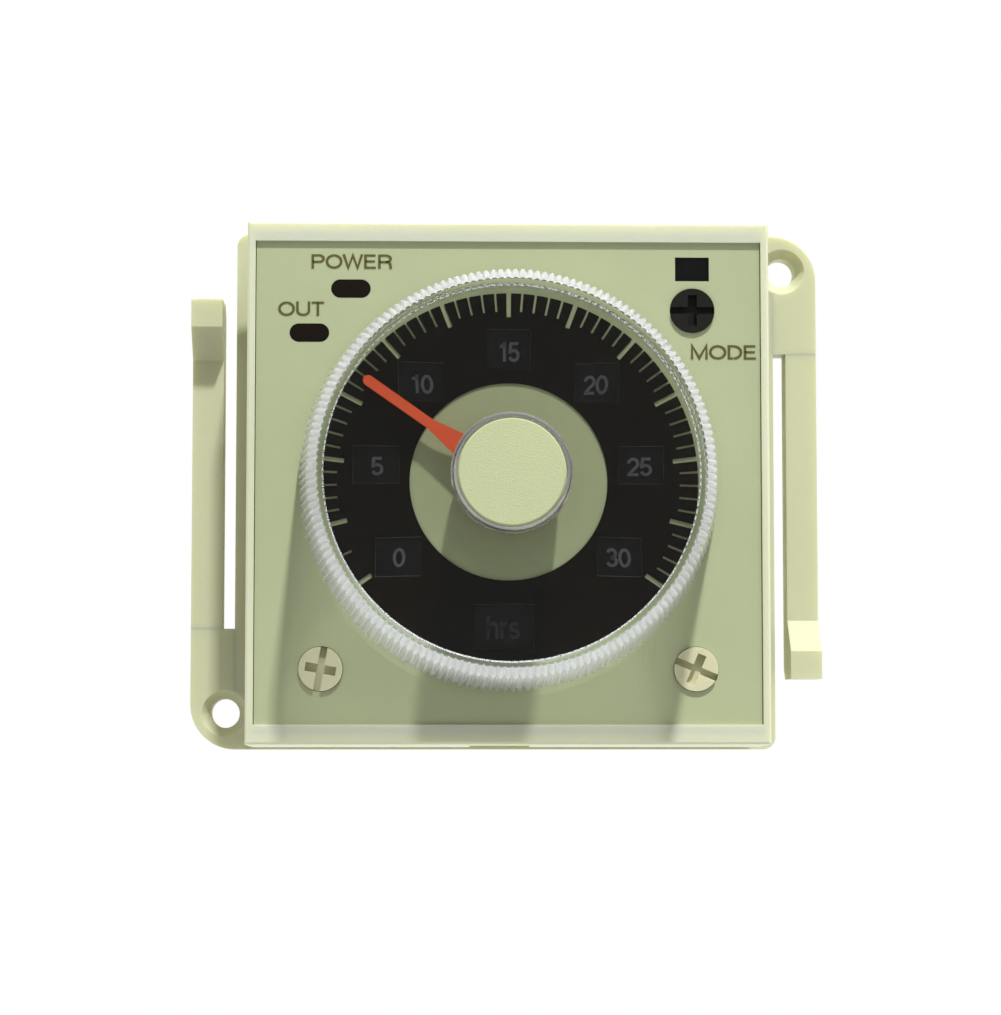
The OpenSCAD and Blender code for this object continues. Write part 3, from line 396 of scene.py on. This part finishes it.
# Plain sans-serif characters as the centre lines of their strokes, in units of the height of a
# capital: the width that each takes up, then its strokes
GLYPHS = {
    "0": (0.66, [arc(0.33, 0.5, 0.25, 0.43, 90, 450, 28)]),
    "1": (0.56, [[(0.12, 0.77), (0.26, 0.8), (0.36, 0.93)], [(0.36, 1), (0.36, 0)]]),
    "2": (0.66, [arc(0.33, 0.67, 0.24, 0.26, 175, -25) + [(0.1, 0.09)], [(0.04, 0.07), (0.6, 0.07)]]),
    "3": (0.66, [arc(0.32, 0.71, 0.2, 0.22, 165, -90) + [(0.26, 0.49)],
                 [(0.26, 0.51)] + arc(0.32, 0.29, 0.24, 0.22, 90, -165)]),
    "4": (0.66, [[(0.62, 0.26), (0.07, 0.26), (0.45, 0.95)], [(0.45, 1), (0.45, 0)]]),
    "5": (0.66, [[(0.56, 0.93), (0.16, 0.93), (0.1, 0.5)] + arc(0.32, 0.33, 0.24, 0.26, 140, -160)]),
    "6": (0.66, [arc(0.33, 0.31, 0.24, 0.24, 90, 450, 24), arc(0.37, 0.5, 0.28, 0.43, 60, 200)]),
    "8": (0.66, [arc(0.33, 0.71, 0.2, 0.22, 90, 450, 24), arc(0.33, 0.28, 0.24, 0.21, 90, 450, 24)]),
    "D": (0.8, [[(0.3, 0.07), (0.1, 0.07), (0.1, 0.93), (0.3, 0.93)]
                + arc(0.34, 0.5, 0.36, 0.43, 90, -90)]),
    "E": (0.72, [[(0.62, 0.93), (0.1, 0.93), (0.1, 0.07), (0.64, 0.07)], [(0.1, 0.51), (0.59, 0.51)]]),
    "M": (0.94, [[(0.1, 0), (0.1, 0.97), (0.46, 0.08), (0.82, 0.97), (0.82, 0)]]),
    "O": (0.9, [arc(0.44, 0.5, 0.37, 0.43, 90, 450, 28)]),
    "P": (0.76, [[(0.1, 0), (0.1, 0.93), (0.42, 0.93)] + arc(0.42, 0.7, 0.24, 0.23, 90, -90)
                 + [(0.1, 0.47)]]),
    "R": (0.82, [[(0.1, 0), (0.1, 0.93), (0.44, 0.93)] + arc(0.44, 0.7, 0.24, 0.23, 90, -90)
                 + [(0.1, 0.47)],
                 [(0.44, 0.47)] + arc(0.46, 0.29, 0.2, 0.18, 90, 0) + [(0.68, 0)]]),
    "T": (0.68, [[(0.02, 0.93), (0.66, 0.93)], [(0.34, 0.93), (0.34, 0)]]),
    "U": (0.82, [[(0.1, 1)] + arc(0.4, 0.36, 0.3, 0.29, 180, 360) + [(0.7, 1)]]),
    "W": (1.06, [[(0.04, 1), (0.27, 0.06), (0.51, 0.94), (0.75, 0.06), (0.98, 1)]]),
    "h": (0.62, [[(0.08, 1), (0.08, 0)], arc(0.28, 0.44, 0.2, 0.24, 180, 0) + [(0.48, 0)]]),
    "i": (0.28, [[(0.1, 0.72), (0.1, 0)], [(0.1, 1), (0.1, 0.86)]]),
    "m": (0.9, [[(0.08, 0.74), (0.08, 0)], arc(0.24, 0.46, 0.16, 0.22, 180, 0) + [(0.4, 0)],
                arc(0.56, 0.46, 0.16, 0.22, 180, 0) + [(0.72, 0)]]),
    "n": (0.62, [[(0.08, 0.74), (0.08, 0)], arc(0.28, 0.44, 0.2, 0.24, 180, 0) + [(0.48, 0)]]),
    "r": (0.4, [[(0.08, 0.74), (0.08, 0)], arc(0.34, 0.4, 0.26, 0.28, 180, 90)]),
    "s": (0.56, [arc(0.26, 0.52, 0.17, 0.15, 20, 250, 10) + arc(0.26, 0.21, 0.19, 0.15, 75, -160, 10)]),
}


def ribbon(points, width):
    """The two edges of a stroke along these points, with square ends and mitred corners."""
    left, right = [], []
    closed = math.dist(points[0], points[-1]) < 1e-6
    last = len(points) - 1
    for i, (x, z) in enumerate(points):
        before = points[last - 1 if closed and i == 0 else max(i - 1, 0)]
        after = points[1 if closed and i == last else min(i + 1, last)]
        into = Vector((x - before[0], z - before[1]))
        out = Vector((after[0] - x, after[1] - z))
        into = into.normalized() if into.length else out.normalized()
        out = out.normalized() if out.length else into
        middle = (into + out).normalized()
        side = Vector((-middle.y, middle.x)) * (width / 2 / max(0.35, middle.dot(out)))
        left.append((x + side.x, z + side.y))
        right.append((x - side.x, z - side.y))
    return left, right


def print_words(name, words, y, depth, mat, body):
    """Words as thin print. Each is (text, x, z, height, turn in degrees, stroke width, width or None)."""
    bm = bmesh.new()
    for text, x, z, height, turn, weight, width in words:
        length = sum(GLYPHS[c][0] for c in text) - 0.06
        k = width / (length * height) if width else 1
        cos, sin = math.cos(math.radians(turn)), math.sin(math.radians(turn))

        def place(u, v):
            u, v = (u - length / 2) * k * height, (v - 0.5) * height
            return bm.verts.new((x + u * cos - v * sin, y - depth, z + u * sin + v * cos))

        at = 0
        for c in text:
            for stroke in GLYPHS[c][1]:
                left, right = ribbon([(at + u, v) for u, v in stroke], weight)
                a = [place(*p) for p in left]
                b = [place(*p) for p in right]
                for i in range(len(a) - 1):
                    bm.faces.new((a[i], a[i + 1], b[i + 1], b[i]))
            at += GLYPHS[c][0]
    bmesh.ops.remove_doubles(bm, verts=bm.verts, dist=1e-7)
    ob = new_object(name, bm, mat, body)
    m = ob.modifiers.new("ink", "SOLIDIFY")
    m.thickness = depth
    m.offset = 0
    return ob


def polar(r, a):
    """The place at this radius and this angle in degrees, anticlockwise from the top."""
    return -r * math.sin(math.radians(a)), r * math.cos(math.radians(a))


def beside(node, dx, dz):
    """The place this many millimetres from the middle of a node's front."""
    low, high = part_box(node)
    return (low[0] + high[0]) / 2 + dx * MM, (low[2] + high[2]) / 2 + dz * MM


INK = 0.03 * MM

# The number disc carries two sets of numbers. Half a window's step brings the other set to the windows
window_step = 41.5
first_window = 124.5
number_r = 12.3 * MM
number_height = 1.7 * MM
number_stroke = 0.16
digits = []
for i in range(7):
    a = first_window - window_step * i
    other_a = a - window_step / 2
    digits.append((str(5 * i), *polar(number_r, a), number_height, 0, number_stroke, None))
    turned = -window_step / 2
    digits.append((str(2 * i), *polar(number_r, other_a), number_height, turned, number_stroke, None))
ink_digits = plastic("digit_ink", rgb(250, 248, 255), 0.6, 0.05, 900, 0.05)
disc_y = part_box("number_disc")[0][1]
print_words("number_digits", digits, disc_y + 0.05 * MM, INK, ink_digits, "number_disc")

word_height = 1.3 * MM
word_stroke = 0.13
words = [
    ("POWER", *beside("power_lens", 0.05, 2.5), word_height, 0, word_stroke, 7.4 * MM),
    ("OUT", *beside("out_lens", -0.8, 2.2), word_height, 0, word_stroke, 4.1 * MM),
    ("MODE", *beside("mode_selector", 2.81, -3.8), word_height, 0, word_stroke, 6.05 * MM),
]
ink_face = plastic("face_ink", rgb(92, 88, 48), 0.6, 0.06, 900, 0.05)
print_words("face_words", words, face_y, INK, ink_face, "housing")

unit_step = 24
unit_window = -182
shown_unit = 2
unit_r = 13.3 * MM
unit_height = 2.0 * MM
unit_stroke = 0.15
units = []
for i, text in enumerate(("s", "min", "hrs", "10h")):
    turn = unit_step * (i - shown_unit)
    units.append((text, *polar(unit_r, unit_window + turn), unit_height, turn, unit_stroke, None))
# The labels' print is grey, far darker than the digits' white print. This is painted shade for the unit
# disc's deeper place behind its window.
shaded_unit_ink = plastic("unit_ink_painted_shade", rgb(150, 148, 160), 0.6, 0.05, 900, 0.05)
unit_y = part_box("unit_disc")[0][1]
print_words("unit_labels", units, unit_y + 0.15 * MM, INK, shaded_unit_ink, "unit_disc")


# ---------------------------------------------------------------- stage

def room():
    """White behind the object. What lights it is bright above and at the sides and dark around the viewer."""
    w = bpy.data.worlds.new("room")
    bpy.context.scene.world = w
    w.use_nodes = True
    t = w.node_tree
    lit = t.nodes["Background"]
    coords = t.nodes.new("ShaderNodeTexCoord")

    def along(axis, near, far, low, high):
        dot = t.nodes.new("ShaderNodeVectorMath")
        dot.operation = "DOT_PRODUCT"
        dot.inputs[1].default_value = axis
        t.links.new(coords.outputs["Generated"], dot.inputs[0])
        m = t.nodes.new("ShaderNodeMapRange")
        m.interpolation_type = "SMOOTHSTEP"
        for k, v in (("From Min", near), ("From Max", far), ("To Min", low), ("To Max", high)):
            m.inputs[k].default_value = v
        t.links.new(dot.outputs["Value"], m.inputs["Value"])
        return m.outputs["Result"]

    def times(a, b):
        m = t.nodes.new("ShaderNodeMath")
        m.operation = "MULTIPLY"
        t.links.new(a, m.inputs[0])
        t.links.new(b, m.inputs[1])
        return m.outputs["Value"]

    front = along((0, -1, 0), 0.66, 0.97, 0.82, 0.1)
    side = along((1, 0, 0), -1, 1, 0.9, 1.1)
    height = along((0, 0, 1), -1, 1, 1.05, 0.95)
    back = along((0, 1, 0), 0, 0.8, 1.0, 1.5)
    t.links.new(times(times(front, side), times(height, back)), lit.inputs["Strength"])
    seen = t.nodes.new("ShaderNodeBackground")
    path = t.nodes.new("ShaderNodeLightPath")
    both = t.nodes.new("ShaderNodeMixShader")
    t.links.new(path.outputs["Is Camera Ray"], both.inputs["Fac"])
    t.links.new(lit.outputs["Background"], both.inputs[1])
    t.links.new(seen.outputs["Background"], both.inputs[2])
    t.links.new(both.outputs["Shader"], t.nodes["World Output"].inputs["Surface"])
    lit.inputs["Color"].default_value = (1, 1, 0.97, 1)
    seen.inputs["Color"].default_value = (1, 1, 1, 1)


def lamp(name, at, side, power):
    """A square lamp that faces the origin."""
    data = bpy.data.lights.new(name, "AREA")
    data.shape = "RECTANGLE"
    data.size = side
    data.size_y = side
    data.energy = power
    ob = bpy.data.objects.new(name, data)
    bpy.context.scene.collection.objects.link(ob)
    ob.location = at
    ob.rotation_euler = (-Vector(at)).to_track_quat("-Z", "Y").to_euler()
    return ob


room()
# The lamp stays out of paths through the clear knob, which would light the knob's own shadow
key = lamp("key_lamp", (0.27, -0.82, 1.8), 0.1, 54)
key.visible_transmission = False
key.visible_glossy = False

# The camera stands a little to the left of the knob's axis and below it, and looks up and to the right
camera_up = 4.408
camera_right = 1.59
camera_data = bpy.data.cameras.new("camera")
camera = bpy.data.objects.new("camera", camera_data)
bpy.context.scene.collection.objects.link(camera)
bpy.context.scene.camera = camera
camera_data.lens = 100.7
camera_data.clip_start = 0.01
camera.location = (-0.00785, -0.26195, -0.0221)
camera.rotation_euler = Euler((math.radians(90 + camera_up), 0, math.radians(-camera_right)), "XYZ")
bpy.context.scene.view_settings.view_transform = "Standard"
